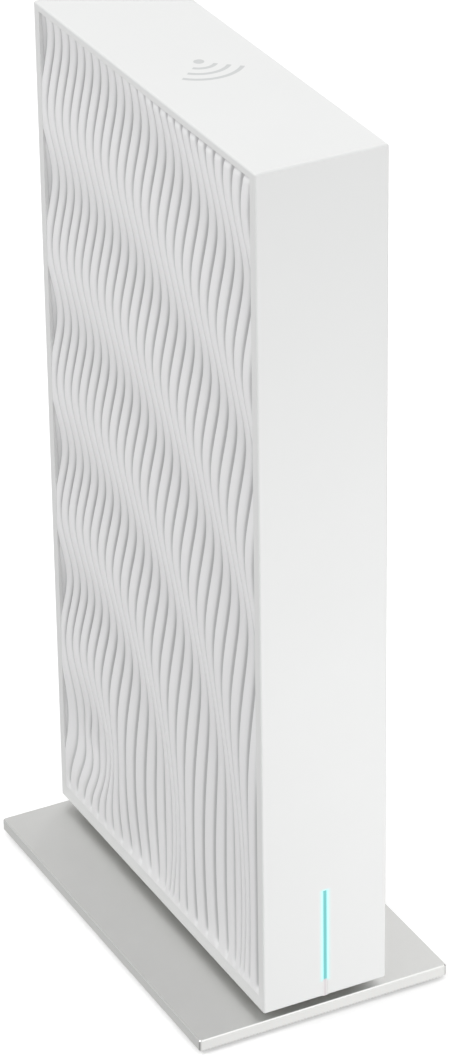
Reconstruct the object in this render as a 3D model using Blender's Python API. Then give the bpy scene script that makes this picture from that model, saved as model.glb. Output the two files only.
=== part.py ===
"""Upright wireless router on a flat metal stand plate.

A tall, narrow casing sleeve carries a rippled wave panel in each broad side and a
rear cover with the sockets and buttons. Inside, one chassis holds the main board,
the antennas and the light bar's board. The sleeve stands on a recessed neck and an
aluminium plate with four rubber feet.

Sizes are in millimetres and are scaled to metres where a mesh is made.
+Z is up and -Y is the front. The origin is on the floor, under the middle of the stand.
"""

import math

import bmesh
import bpy
import numpy as np
from mathutils import Vector

MM = 0.001
GAP = 0.3        # air left between neighbouring pieces
SEAT = 0.2       # air under a piece that sits on another

# ---------------------------------------------------------------- driving sizes
TOWER_WIDTH, TOWER_DEPTH, TOWER_HEIGHT = 32.5, 109.5, 215.0
HALF_W, HALF_D = TOWER_WIDTH / 2, TOWER_DEPTH / 2
EDGE_RADIUS = 0.5

PLATE_WIDTH, PLATE_DEPTH, PLATE_THICK = 66.0, 109.0, 3.0
FOOT_LIFT = 1.0                                   # the plate's underside above the floor
PLATE_TOP = FOOT_LIFT + PLATE_THICK
SHADOW_GAP = 2.2                                  # the plate's top to the sleeve's underside
TOWER_BASE = PLATE_TOP + SHADOW_GAP

FRONT_WALL, TOP_WALL, BOTTOM_WALL = 2.2, 2.0, 2.4
CAVITY_HALF_W = 12.65
WINDOW_FRONT, WINDOW_BACK, WINDOW_TOP, WINDOW_BOTTOM = 2.5, 2.8, 1.8, 3.8   # borders round the wave panel
WINDOW_DEPTH, WINDOW_LEDGE = 2.4, 1.4

REAR_THICK, REAR_BORDER = 1.6, 1.5
REAR_HALF_W = 14.25

BOARD_X = (-7.0, -5.4)                            # the main board stands on edge, chips towards +X
SOCKET_X = 1.4                                    # middle line of the sockets and buttons
CHIP_FOOT = BOARD_X[1] + SEAT

# Heights of the rear sockets and buttons above the sleeve's underside.
POWER_INLET_Z, POWER_BUTTON_Z, WAN_Z = 25.0, 43.0, 64.0
LAN_Z = (86.0, 104.0, 122.0)
WPS_Z, RESET_Z = 145.0, 157.0

STAND_SCREW_Y = 30.0

# ---------------------------------------------------------------- clean start
for leftover in list(bpy.data.objects):
    bpy.data.objects.remove(leftover, do_unlink=True)


def material(name, colour, roughness, metallic=0.0):
    """A plain Principled material."""
    made = bpy.data.materials.new(name)
    made.use_nodes = True
    shader = made.node_tree.nodes["Principled BSDF"]
    shader.inputs["Base Color"].default_value = (*colour, 1.0)
    shader.inputs["Roughness"].default_value = roughness
    shader.inputs["Metallic"].default_value = metallic
    return made


WHITE_SHELL = material("white_shell", (0.82, 0.83, 0.83), 0.45)
WHITE_WAVE = material("white_wave", (0.80, 0.80, 0.80), 0.5)
DARK_NECK = material("dark_neck", (0.10, 0.10, 0.10), 0.6)
SATIN_ALUMINIUM = material("satin_aluminium", (0.72, 0.72, 0.71), 0.35, 1.0)
BLACK_RUBBER = material("black_rubber", (0.03, 0.03, 0.03), 0.8)
GREY_NYLON = material("grey_nylon", (0.45, 0.46, 0.47), 0.55)
BOARD_GREEN = material("board_green", (0.03, 0.16, 0.09), 0.4)
CHIP_BLACK = material("chip_black", (0.03, 0.03, 0.035), 0.5)
PAD_GREY = material("pad_grey", (0.45, 0.47, 0.52), 0.9)
TINNED_STEEL = material("tinned_steel", (0.75, 0.75, 0.74), 0.3, 1.0)
GOLD_CONTACT = material("gold_contact", (0.85, 0.63, 0.25), 0.3, 1.0)
SOCKET_BLACK = material("socket_black", (0.04, 0.04, 0.045), 0.5)
SOCKET_BLUE = material("socket_blue", (0.04, 0.20, 0.50), 0.5)
LIGHT_MILKY = material("light_milky", (0.45, 0.85, 0.82), 0.3)
LED_YELLOW = material("led_yellow", (0.85, 0.80, 0.45), 0.4)
COAX_GREY = material("coax_grey", (0.30, 0.30, 0.31), 0.5)
RIBBON_WHITE = material("ribbon_white", (0.80, 0.80, 0.78), 0.5)

tower = bpy.data.objects.new("tower_frame", None)
tower.location = (0, 0, TOWER_BASE * MM)
bpy.context.collection.objects.link(tower)


# ---------------------------------------------------------------- shape helpers
def link(name, mesh, finish, parent, centre):
    """An object for this mesh, with its origin at centre, in the parent's frame."""
    obj = bpy.data.objects.new(name, mesh)
    bpy.context.collection.objects.link(obj)
    if finish is not None:
        mesh.materials.append(finish)
    obj.parent = parent
    obj.location = Vector(centre) * MM
    return obj


def hide_helper(obj):
    """Marks a cutter or a shape to be joined on, which the build leaves out."""
    obj.hide_render = True
    obj.display_type = "WIRE"
    return obj


def mesh_from(build):
    """A mesh filled by build(bm), with its normals facing out."""
    bm = bmesh.new()
    build(bm)
    bmesh.ops.recalc_face_normals(bm, faces=bm.faces)
    mesh = bpy.data.meshes.new("mesh")
    bm.to_mesh(mesh)
    bm.free()
    return mesh


def block(name, finish, x, y, z, parent=tower, edge=0.0, rounds=2):
    """A box between the given limits, with an optional rounded edge."""
    size = [(limits[1] - limits[0]) * MM for limits in (x, y, z)]
    centre = [(limits[0] + limits[1]) / 2 for limits in (x, y, z)]

    def build(bm):
        bmesh.ops.create_cube(bm, size=1.0)
        bmesh.ops.scale(bm, vec=size, verts=bm.verts)

    obj = link(name, mesh_from(build), finish, parent, centre)
    if edge:
        bevel = obj.modifiers.new("edge", "BEVEL")
        bevel.width = edge * MM
        bevel.segments = rounds
    return obj


TURN_FROM_Z = {"X": (0, math.pi / 2, 0), "Y": (-math.pi / 2, 0, 0), "Z": (0, 0, 0)}


def turned(name, finish, centre, axis, profile, sides=24, parent=tower):
    """A round solid: profile lists (distance along the axis, radius) from one end to the other."""

    def build(bm):
        rings = []
        for along, radius in profile:
            ring = [
                bm.verts.new((radius * MM * math.cos(a), radius * MM * math.sin(a), along * MM))
                for a in (2 * math.pi * i / sides for i in range(sides))
            ]
            rings.append(ring)
        for lower, upper in zip(rings, rings[1:]):
            for i in range(sides):
                j = (i + 1) % sides
                bm.faces.new((lower[i], lower[j], upper[j], upper[i]))
        bm.faces.new(rings[0])
        bm.faces.new(rings[-1])

    obj = link(name, mesh_from(build), finish, parent, centre)
    obj.rotation_euler = TURN_FROM_Z[axis]
    obj.data.shade_smooth()
    obj.data.set_sharp_from_angle(angle=math.radians(40))
    return obj


def extruded(name, finish, outline, z, parent=tower):
    """An XY outline, in order round the shape, extruded between two heights."""

    def build(bm):
        floor = [bm.verts.new((px * MM, py * MM, z[0] * MM)) for px, py in outline]
        roof = [bm.verts.new((px * MM, py * MM, z[1] * MM)) for px, py in outline]
        bm.faces.new(floor)
        bm.faces.new(roof)
        for i in range(len(outline)):
            j = (i + 1) % len(outline)
            bm.faces.new((floor[i], floor[j], roof[j], roof[i]))

    return link(name, mesh_from(build), finish, parent, (0, 0, 0))


def boolean(obj, other, operation):
    """Cuts other from obj, or joins it on."""
    hide_helper(other)
    step = obj.modifiers.new(other.name, "BOOLEAN")
    step.operation = operation
    step.object = other
    step.solver = "EXACT"


def cut_box(obj, x, y, z):
    """Cuts a box out of obj, given in obj's parent's frame."""
    boolean(obj, block("cut", None, x, y, z, parent=obj.parent), "DIFFERENCE")


def cut_round(obj, centre, axis, radius, length, sides=24):
    """Drills obj: the hole is centred on centre and is length long."""
    profile = [(-length / 2, radius), (length / 2, radius)]
    drill = turned("drill", None, centre, axis, profile, sides, obj.parent)
    boolean(obj, drill, "DIFFERENCE")


def join_box(obj, x, y, z):
    """Joins a box on to obj."""
    boolean(obj, block("joined", None, x, y, z, parent=obj.parent), "UNION")


def join_round(obj, centre, axis, radius, length, sides=20):
    """Joins a round post on to obj."""
    profile = [(-length / 2, radius), (length / 2, radius)]
    post = turned("joined", None, centre, axis, profile, sides, obj.parent)
    boolean(obj, post, "UNION")


def about(middle, half):
    """The two limits half either side of middle."""
    return (middle - half, middle + half)


# ---------------------------------------------------------------- casing sleeve
SLOT_HALF_W, SLOT_TOP = 0.66, 29.5                # the light bar's slot, open at the sleeve's underside
SCREW_CLEARANCE = 1.8


def casing_sleeve():
    """One white moulding: front, top and bottom walls and both side frames, open at the rear."""
    sleeve = block(
        "casing_sleeve", WHITE_SHELL, about(0, HALF_W), about(0, HALF_D), (0, TOWER_HEIGHT),
        edge=EDGE_RADIUS, rounds=3,
    )
    beyond = 5.0
    inside_y, inside_z = (-HALF_D + FRONT_WALL, HALF_D + beyond), (BOTTOM_WALL, TOWER_HEIGHT - TOP_WALL)
    cut_box(sleeve, about(0, CAVITY_HALF_W), inside_y, inside_z)
    rear_seat = HALF_D - REAR_THICK - GAP
    rear_z = (REAR_BORDER, TOWER_HEIGHT - REAR_BORDER)
    cut_box(sleeve, about(0, REAR_HALF_W), (rear_seat, HALF_D + beyond), rear_z)
    window_y = (-HALF_D + WINDOW_FRONT, HALF_D - WINDOW_BACK)
    window_z = (WINDOW_BOTTOM, TOWER_HEIGHT - WINDOW_TOP)
    inner_y = (window_y[0] + WINDOW_LEDGE, window_y[1] - WINDOW_LEDGE)
    inner_z = (window_z[0] + WINDOW_LEDGE, window_z[1] - WINDOW_LEDGE)
    for side in (-1, 1):
        outer_x = sorted((side * (HALF_W - WINDOW_DEPTH), side * (HALF_W + beyond)))
        through_x = sorted((side * (CAVITY_HALF_W - 1.0), side * (HALF_W + beyond)))
        cut_box(sleeve, outer_x, window_y, window_z)
        cut_box(sleeve, through_x, inner_y, inner_z)
    cut_box(sleeve, about(0, SLOT_HALF_W), (-HALF_D - beyond, -HALF_D + FRONT_WALL + 1.0), (-1.0, SLOT_TOP))
    for y in (-STAND_SCREW_Y, STAND_SCREW_Y):
        cut_round(sleeve, (0, y, BOTTOM_WALL / 2), "Z", SCREW_CLEARANCE, BOTTOM_WALL + 2)
    return sleeve


# ---------------------------------------------------------------- wave panels
RIB_PITCH, FIRST_GROOVE = 4.031, 3.19             # measured from the rear edge of the sleeve
RIPPLE_SWAY, RIPPLE_LENGTH, RIPPLE_PHASE = 2.46, 35.13, 0.582
RIPPLE_FROM_REAR, RIPPLE_UP = 16.5, 28.1          # the middle of the rings of ripples
PANEL_BACK, PANEL_GROOVE, PANEL_CREST = 14.15, 15.1, 16.05   # distances out from the sleeve's middle
PANEL_ROWS = 29
EDGE_CALM = 4.0                                   # the sway dies out this close to the panel's edge


def wave_panel(name, side):
    """A side panel of upright ribs that sway with rings of ripples round one centre.

    A rib's line is its straight place plus a sine of its distance from that centre.
    """
    low, high = WINDOW_BACK + GAP, TOWER_DEPTH - WINDOW_FRONT - GAP
    lines = np.arange(FIRST_GROOVE + RIB_PITCH / 2, high, RIB_PITCH / 2)
    lines = np.concatenate(([low], lines[lines < high - 0.5], [high]))
    rows = np.linspace(WINDOW_BOTTOM + GAP, TOWER_HEIGHT - WINDOW_TOP - GAP, PANEL_ROWS)
    line, row = np.meshgrid(lines, rows, indexing="ij")
    reach = np.hypot(line - RIPPLE_FROM_REAR, row - RIPPLE_UP)
    calm = np.clip(np.minimum(line - low, high - line) / EDGE_CALM, 0, 1)
    from_rear = line + calm * RIPPLE_SWAY * np.sin(2 * np.pi * reach / RIPPLE_LENGTH + RIPPLE_PHASE)
    crest = np.arange(len(lines)) % 2 == 1
    crest[-1] = False
    out = np.where(crest[:, None], PANEL_CREST, PANEL_GROOVE) + 0 * row

    def build(bm):
        def point(i, j, x):
            return bm.verts.new((side * x * MM, (HALF_D - from_rear[i, j]) * MM, row[i, j] * MM))

        count, tall = line.shape
        face = [[point(i, j, out[i, j]) for j in range(tall)] for i in range(count)]
        for i in range(count - 1):
            for j in range(tall - 1):
                bm.faces.new((face[i][j], face[i + 1][j], face[i + 1][j + 1], face[i][j + 1]))
        rim = [(i, 0) for i in range(count)] + [(count - 1, j) for j in range(1, tall)]
        rim += [(i, tall - 1) for i in range(count - 2, -1, -1)] + [(0, j) for j in range(tall - 2, 0, -1)]
        back = [point(i, j, PANEL_BACK) for i, j in rim]
        for k in range(len(rim)):
            n = (k + 1) % len(rim)
            (i, j), (p, q) = rim[k], rim[n]
            bm.faces.new((face[i][j], face[p][q], back[n], back[k]))
        bm.faces.new(back)

    return link(name, mesh_from(build), WHITE_WAVE, tower, (0, 0, 0))


# ---------------------------------------------------------------- rear cover
JACK_HALF_H, JACK_X = 8.1, (CHIP_FOOT, 8.0)       # half its height, and its reach across the sleeve
JACK_Y = (33.6, 54.4)
INLET_HALF_H, INLET_X = 4.5, (-3.4, 6.2)
POWER_CAP_HALF, WPS_CAP_RADIUS, RESET_HOLE_RADIUS = 3.6, 2.6, 0.9
VENT_HALF_W, VENT_HALF_H, VENT_PITCH = 8.0, 0.8, 4.0
UPPER_VENTS, LOWER_VENTS = (170.0, 9), (8.0, 3)   # first slot's height, and how many
COVER_Y = (HALF_D - REAR_THICK, HALF_D)
TONGUE_HALF_W, TONGUE_THICK, TONGUE_FROM_Y = 6.0, 1.2, 47.4   # the two that hook under the sleeve's walls


def rear_cover():
    """The cover that closes the sleeve behind, with cut-outs for the sockets, buttons and vents."""
    cover = block(
        "rear_cover", WHITE_SHELL, about(0, REAR_HALF_W - GAP), COVER_Y,
        (REAR_BORDER + GAP, TOWER_HEIGHT - REAR_BORDER - GAP),
    )
    through = (COVER_Y[0] - 1, COVER_Y[1] + 1)
    for z in (WAN_Z, *LAN_Z):
        cut_box(cover, (JACK_X[0] - GAP, JACK_X[1] + GAP), through, about(z, JACK_HALF_H + GAP))
    cut_box(cover, (INLET_X[0] - GAP, INLET_X[1] + GAP), through, about(POWER_INLET_Z, INLET_HALF_H + GAP))
    power_half = POWER_CAP_HALF + GAP
    cut_box(cover, about(SOCKET_X, power_half), through, about(POWER_BUTTON_Z, power_half))
    middle_y = sum(COVER_Y) / 2
    cut_round(cover, (SOCKET_X, middle_y, WPS_Z), "Y", WPS_CAP_RADIUS + GAP, 5.0)
    cut_round(cover, (SOCKET_X, middle_y, RESET_Z), "Y", RESET_HOLE_RADIUS, 5.0, sides=16)
    for first, count in (UPPER_VENTS, LOWER_VENTS):
        for i in range(count):
            cut_box(cover, about(0, VENT_HALF_W), through, about(first + i * VENT_PITCH, VENT_HALF_H))
    tongue_y = (TONGUE_FROM_Y, COVER_Y[0] + 0.5)
    floor, roof = BOTTOM_WALL + GAP, TOWER_HEIGHT - TOP_WALL - GAP
    join_box(cover, about(0, TONGUE_HALF_W), tongue_y, (floor, floor + TONGUE_THICK))
    join_box(cover, about(0, TONGUE_HALF_W), tongue_y, (roof - TONGUE_THICK, roof))


# ---------------------------------------------------------------- chassis
CHASSIS_X = (-12.35, -10.95)
CHASSIS_Y, CHASSIS_Z = (-50.4, 51.5), (BOTTOM_WALL + GAP, 209.0)
FLANGE = 1.2
FLANGE_X = (CHASSIS_X[0], 4.0)
STANDOFF_RADIUS, BOARD_SCREW_HOLE = 2.8, 1.5
BOARD_SCREWS = ((-41.0, 18.0), (-41.0, 170.0), (28.0, 17.0), (40.0, 169.0))   # (y, z)
BOSS_RADIUS, BOSS_TOP, BOSS_HOLE = 4.0, 11.0, 1.7
FRONT_FLANGE_BOTTOM = 37.0
LIGHT_RIB_Y, LIGHT_RIB_TOP = (-47.9, -46.7), 29.5


def inner_chassis():
    """The grey moulding that everything inside is fixed to: a wall with flanges, posts and bosses."""
    chassis = block("inner_chassis", GREY_NYLON, CHASSIS_X, CHASSIS_Y, CHASSIS_Z)
    foot_z = (CHASSIS_Z[0], CHASSIS_Z[0] + 2.0)
    join_box(chassis, (CHASSIS_X[0], 9.0), (-45.0, 45.0), foot_z)
    front_y = (CHASSIS_Y[0], CHASSIS_Y[0] + FLANGE)
    join_box(chassis, FLANGE_X, front_y, (FRONT_FLANGE_BOTTOM, CHASSIS_Z[1]))
    join_box(chassis, (CHASSIS_X[0], 4.5), LIGHT_RIB_Y, (CHASSIS_Z[0], LIGHT_RIB_TOP))
    join_box(chassis, FLANGE_X, (CHASSIS_Y[0], 47.0), (CHASSIS_Z[1] - FLANGE, CHASSIS_Z[1]))
    post_x = (CHASSIS_X[1] - 0.5, BOARD_X[0] - SEAT)
    for y, z in BOARD_SCREWS:
        join_round(chassis, (sum(post_x) / 2, y, z), "X", STANDOFF_RADIUS, post_x[1] - post_x[0])
        cut_round(chassis, (post_x[1] - 2.0, y, z), "X", BOARD_SCREW_HOLE, 5.0, sides=16)
    boss_z = (foot_z[0] + 0.5, BOSS_TOP)
    for y in (-STAND_SCREW_Y, STAND_SCREW_Y):
        join_round(chassis, (0, y, sum(boss_z) / 2), "Z", BOSS_RADIUS, boss_z[1] - boss_z[0])
        cut_round(chassis, (0, y, foot_z[0] + 2.0), "Z", BOSS_HOLE, 11.0, sides=16)
    return chassis


# ---------------------------------------------------------------- main board and what is soldered to it
BOARD_Y, BOARD_Z = (-46.0, 50.0), (12.0, 176.0)
BOARD_HOLE = 1.7
SOC_TOP = CHIP_FOOT + 1.4
PAD_X = (SOC_TOP + 0.1, SOC_TOP + 0.7)
SINK_BASE_X, SINK_FIN_TIP = (PAD_X[1] + 0.1, PAD_X[1] + 2.1), 9.5
SINK_Y, SINK_Z = (-36.0, 18.0), (62.0, 128.0)
FIN_COUNT, FIN_THICK = 12, 1.1


def main_board():
    board = block("main_board", BOARD_GREEN, BOARD_X, BOARD_Y, BOARD_Z)
    for y, z in BOARD_SCREWS:
        cut_round(board, (sum(BOARD_X) / 2, y, z), "X", BOARD_HOLE, 4.0, sides=16)
    return board


def chips():
    """The processor, memory, flash and Ethernet switch, and the two line transformers."""
    low_x = (CHIP_FOOT, CHIP_FOOT + 1.0)
    block("soc_chip", CHIP_BLACK, (CHIP_FOOT, SOC_TOP), (-17.5, -0.5), (86.5, 103.5), edge=0.2, rounds=1)
    block("memory_chip", CHIP_BLACK, low_x, (-30.0, -21.0), (88.0, 101.0), edge=0.15, rounds=1)
    block("flash_chip", CHIP_BLACK, low_x, (-14.0, -6.0), (74.0, 80.0), edge=0.15, rounds=1)
    block("switch_chip", CHIP_BLACK, low_x, (3.0, 15.0), (106.0, 118.0), edge=0.15, rounds=1)
    for number, z in enumerate((78.0, 112.0), start=1):
        name = f"line_transformer_{number}"
        block(name, CHIP_BLACK, (CHIP_FOOT, CHIP_FOOT + 6.0), (21.5, 31.0), about(z, 7.5), edge=0.4, rounds=1)


def shield_can(name, y, z):
    """A tinned steel lid over a radio: a shallow box, open towards the board."""
    wall = 0.4
    can = block(name, TINNED_STEEL, (CHIP_FOOT, CHIP_FOOT + 2.4), y, z)
    inside = (CHIP_FOOT - 1.0, CHIP_FOOT + 2.4 - wall)
    cut_box(can, inside, (y[0] + wall, y[1] - wall), (z[0] + wall, z[1] - wall))


def heat_sink():
    """An aluminium sink over the chips: a base plate with upright fins, cut from one extrusion."""
    outline = [(SINK_BASE_X[0], SINK_Y[1]), (SINK_BASE_X[0], SINK_Y[0])]
    pitch = (SINK_Y[1] - SINK_Y[0] - FIN_THICK) / (FIN_COUNT - 1)
    for i in range(FIN_COUNT):
        start = SINK_Y[0] + i * pitch
        if i:
            outline.append((SINK_BASE_X[1], start))
        outline += [(SINK_FIN_TIP, start), (SINK_FIN_TIP, start + FIN_THICK)]
        if i < FIN_COUNT - 1:
            outline.append((SINK_BASE_X[1], start + FIN_THICK))
    extruded("heat_sink", SATIN_ALUMINIUM, outline, SINK_Z)
    block("thermal_pad", PAD_GREY, PAD_X, (-16.5, -1.5), (87.5, 102.5))


def board_screws():
    """Four pan-head screws through the board into the chassis posts."""
    head = BOARD_X[1] + SEAT
    for number, (y, z) in enumerate(BOARD_SCREWS, start=1):
        profile = [(-4.6, 1.0), (-4.4, 1.25), (0.0, 1.25), (0.0, 2.5), (1.0, 2.5), (1.6, 1.7)]
        screw = turned(f"board_screw_{number}", TINNED_STEEL, (head, y, z), "X", profile, sides=16)
        cut_box(screw, (head + 0.8, head + 2.0), about(y, 0.3), about(z, 1.4))
        cut_box(screw, (head + 0.8, head + 2.0), about(y, 1.4), about(z, 0.3))


# ---------------------------------------------------------------- sockets
PLUG_HALF_H, KEY_HALF_H = 5.9, 3.1
PLUG_X, KEY_X = (-3.4, 3.8), (3.8, 6.0)           # the plug's space and its latch's keyway
PLUG_DEPTH_Y = 39.5
WIRE_COUNT, WIRE_PITCH, WIRE_HALF = 8, 1.02, 0.22
CARRIER_Y, CARRIER_X = (39.8, 41.2), (-3.1, 3.2)
INLET_Y, INLET_BORE, INLET_PIN = (41.0, 54.4), 3.2, 1.05


def network_jack(name, finish, z):
    """An eight-way network socket: its shell with the plug's space and the latch's keyway."""
    jack = block(f"{name}_jack", finish, JACK_X, JACK_Y, about(z, JACK_HALF_H))
    reach = (PLUG_DEPTH_Y, JACK_Y[1] + 1)
    cut_box(jack, PLUG_X, reach, about(z, PLUG_HALF_H))
    cut_box(jack, (KEY_X[0] - 0.5, KEY_X[1]), (PLUG_DEPTH_Y + 4, JACK_Y[1] + 1), about(z, KEY_HALF_H))


def network_contacts(name, z):
    """The eight gold contact wires of a socket on their carrier, sloping down to the mouth."""
    carrier = block(f"{name}_contacts", GOLD_CONTACT, CARRIER_X, CARRIER_Y, about(z, 5.4))

    def build(bm):
        side_view = [(-1.9, 40.6), (-1.5, 41.0), (-2.6, 50.5), (-3.0, 50.1)]
        for i in range(WIRE_COUNT):
            middle = (i - (WIRE_COUNT - 1) / 2) * WIRE_PITCH
            low = [bm.verts.new((px * MM, py * MM, (middle - WIRE_HALF) * MM)) for px, py in side_view]
            high = [bm.verts.new((px * MM, py * MM, (middle + WIRE_HALF) * MM)) for px, py in side_view]
            bm.faces.new(low)
            bm.faces.new(high)
            for a in range(4):
                b = (a + 1) % 4
                bm.faces.new((low[a], low[b], high[b], high[a]))

    boolean(carrier, link("joined", mesh_from(build), None, tower, (0, 0, z)), "UNION")


def power_inlet():
    """The round low-voltage inlet: a black body with its bore, and the centre pin."""
    inlet = block("power_inlet", SOCKET_BLACK, INLET_X, INLET_Y, about(POWER_INLET_Z, INLET_HALF_H))
    join_box(inlet, (CHIP_FOOT, INLET_X[0] + 0.5), (INLET_Y[0], 49.5), about(POWER_INLET_Z, INLET_HALF_H))
    centre = (SOCKET_X, INLET_Y[1], POWER_INLET_Z)
    cut_round(inlet, centre, "Y", INLET_BORE, 20.0)
    pin_start = INLET_Y[1] - 10.0 + 0.1
    profile = [(0, INLET_PIN), (8.2, INLET_PIN), (8.7, INLET_PIN - 0.5)]
    turned("power_inlet_pin", TINNED_STEEL, (SOCKET_X, pin_start, POWER_INLET_Z), "Y", profile, sides=16)


# ---------------------------------------------------------------- buttons and their switches
CAP_FACE = HALF_D - 0.2                           # the caps stand just under the cover's face
STEM_HALF = 1.5
SWITCH_HOLE_HALF = STEM_HALF + GAP


def power_button():
    """The square power button: cap and stem in one, sliding forward into its switch."""
    cap_x, cap_z = about(SOCKET_X, POWER_CAP_HALF), about(POWER_BUTTON_Z, POWER_CAP_HALF)
    button = block("power_button", SOCKET_BLACK, cap_x, (49.0, CAP_FACE), cap_z, edge=0.4)
    join_box(button, about(SOCKET_X, STEM_HALF), (43.4, 49.5), about(POWER_BUTTON_Z, STEM_HALF))
    body_y = (37.0, 46.0)
    switch = block("power_switch", SOCKET_BLACK, (CHIP_FOOT, 6.0), body_y, about(POWER_BUTTON_Z, 4.2))
    hole_x, hole_z = about(SOCKET_X, SWITCH_HOLE_HALF), about(POWER_BUTTON_Z, SWITCH_HOLE_HALF)
    cut_box(switch, hole_x, (40.5, body_y[1] + 1), hole_z)


def pairing_button():
    """The round pairing button, and the small switch behind it."""
    stem = [(0, 1.2), (8.8, 1.2), (8.8, 3.6), (9.8, 3.6)]
    cap = [(9.8, WPS_CAP_RADIUS), (11.4, WPS_CAP_RADIUS), (11.8, WPS_CAP_RADIUS - 0.4)]
    profile = stem + cap
    start = CAP_FACE - profile[-1][0]
    turned("pairing_button", WHITE_SHELL, (SOCKET_X, start, WPS_Z), "Y", profile)
    switch = block("pairing_switch", SOCKET_BLACK, (CHIP_FOOT, 4.5), (37.5, 44.5), about(WPS_Z, 3.1))
    cut_round(switch, (SOCKET_X, 44.5, WPS_Z), "Y", 1.2 + GAP, 6.0)


def reset_button():
    """The reset plunger, reached with a pin through the cover, and its switch."""
    profile = [(0, 0.8), (5.0, 0.8), (5.0, 1.5), (9.0, 1.5)]
    turned("reset_button", SOCKET_BLACK, (SOCKET_X, 42.6, RESET_Z), "Y", profile, sides=16)
    switch = block("reset_switch", SOCKET_BLACK, (CHIP_FOOT, 4.0), (37.5, 43.8), about(RESET_Z, 2.6))
    cut_round(switch, (SOCKET_X, 43.8, RESET_Z), "Y", 0.8 + GAP, 5.0, sides=16)


# ---------------------------------------------------------------- light bar
BAR_HALF_W, BAR_TOP = 0.58, SLOT_TOP - 0.1
ROOT_BACK_Y = -50.0
LED_HEIGHTS = (9.5, 17.0, 24.5)
LED_BOARD_TOP, BAFFLE_TOP, BAFFLE_MOUTH_TOP = 35.0, 32.0, 30.0
RIBBON_Z = (30.2, 34.2)
LED_BOARD_Y = (-48.9, -48.1)


def light_bar():
    """The milky bar that fills the front slot, with the wider root that catches the light."""
    behind_wall = -HALF_D + FRONT_WALL + GAP
    bar = block("light_bar", LIGHT_MILKY, about(0, BAR_HALF_W), (-HALF_D, behind_wall + 0.5), (0, BAR_TOP))
    join_box(bar, about(0, 2.2), (behind_wall, ROOT_BACK_Y), (BOTTOM_WALL + GAP, BAR_TOP - 0.5))
    baffle_y = (behind_wall, LED_BOARD_Y[0] - SEAT)
    baffle = block("light_baffle", SOCKET_BLACK, about(0, 4.5), baffle_y, (BOTTOM_WALL + GAP, BAFFLE_TOP))
    cut_box(baffle, about(0, 2.6), (baffle_y[0] - 1, baffle_y[1] + 1), (BOTTOM_WALL - 2, BAFFLE_MOUTH_TOP))
    block("light_board", BOARD_GREEN, about(0, 4.5), LED_BOARD_Y, (BOTTOM_WALL + GAP, LED_BOARD_TOP))
    for number, z in enumerate(LED_HEIGHTS, start=1):
        led_y = (LED_BOARD_Y[0] - 0.8, LED_BOARD_Y[0] - 0.1)
        block(f"light_led_{number}", LED_YELLOW, about(0, 0.8), led_y, about(z, 1.4))


def light_ribbon():
    """The flat cable from the light's board, in one S-bend round to the main board."""
    half_thick, steps = 0.17, 16
    start = Vector((-0.5, LED_BOARD_Y[1] + SEAT + half_thick))
    end = Vector((CHIP_FOOT + half_thick, -39.0))
    reach = 5.0

    def middle(t):
        a, b = start + Vector((-reach, 0)), end + Vector((0, -reach))
        return (1 - t) ** 3 * start + 3 * t * (1 - t) ** 2 * a + 3 * t * t * (1 - t) * b + t**3 * end

    centre = [middle(i / steps) for i in range(steps + 1)]
    sides = ([], [])
    for i, here in enumerate(centre):
        along = centre[min(i + 1, steps)] - centre[max(i - 1, 0)]
        across = Vector((-along.y, along.x)).normalized() * half_thick
        sides[0].append(tuple(here + across))
        sides[1].append(tuple(here - across))
    extruded("light_ribbon", RIBBON_WHITE, sides[0] + sides[1][::-1], RIBBON_Z)


# ---------------------------------------------------------------- antennas and their leads
LEAD_RADIUS = 0.6
TOP_ANTENNA_Z = (CHASSIS_Z[1] + SEAT, CHASSIS_Z[1] + SEAT + 0.8)
FRONT_ANTENNA_Y = (CHASSIS_Y[0] - SEAT - 0.8, CHASSIS_Y[0] - SEAT)


def antennas():
    """Four printed strip antennas: two lying under the top wall and two standing behind the front."""
    block("antenna_top_front", BOARD_GREEN, (-4.0, 8.0), (-46.0, -10.0), TOP_ANTENNA_Z)
    block("antenna_top_rear", BOARD_GREEN, (-4.0, 8.0), (8.0, 44.0), TOP_ANTENNA_Z)
    block("antenna_front_upper", BOARD_GREEN, (-4.0, 8.0), FRONT_ANTENNA_Y, (150.0, 186.0))
    block("antenna_front_lower", BOARD_GREEN, (-4.0, 8.0), FRONT_ANTENNA_Y, (42.0, 78.0))


def spline_points(knots, steps):
    """Points along a Catmull-Rom curve through the knots."""
    knots = [Vector(k) for k in knots]
    padded = [2 * knots[0] - knots[1], *knots, 2 * knots[-1] - knots[-2]]
    points = []
    for a, b, c, d in zip(padded, padded[1:], padded[2:], padded[3:]):
        for i in range(steps):
            t = i / steps
            bend = (2 * a - 5 * b + 4 * c - d) * t * t + (3 * b - a - 3 * c + d) * t**3
            points.append((2 * b + (c - a) * t + bend) / 2)
    return [*points, knots[-1]]


def coax_lead(name, knots):
    """A thin coaxial lead from an antenna to its radio, along its whole route."""
    curve = bpy.data.curves.new(name, "CURVE")
    curve.dimensions = "3D"
    curve.bevel_depth = LEAD_RADIUS * MM
    curve.bevel_resolution = 2
    curve.use_fill_caps = True
    points = spline_points(knots, 3)
    line = curve.splines.new("POLY")
    line.points.add(len(points) - 1)
    for slot, point in zip(line.points, points):
        slot.co = (*(point * MM), 1.0)
    curve.materials.append(COAX_GREY)
    lead = bpy.data.objects.new(name, curve)
    bpy.context.collection.objects.link(lead)
    lead.parent = tower


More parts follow.
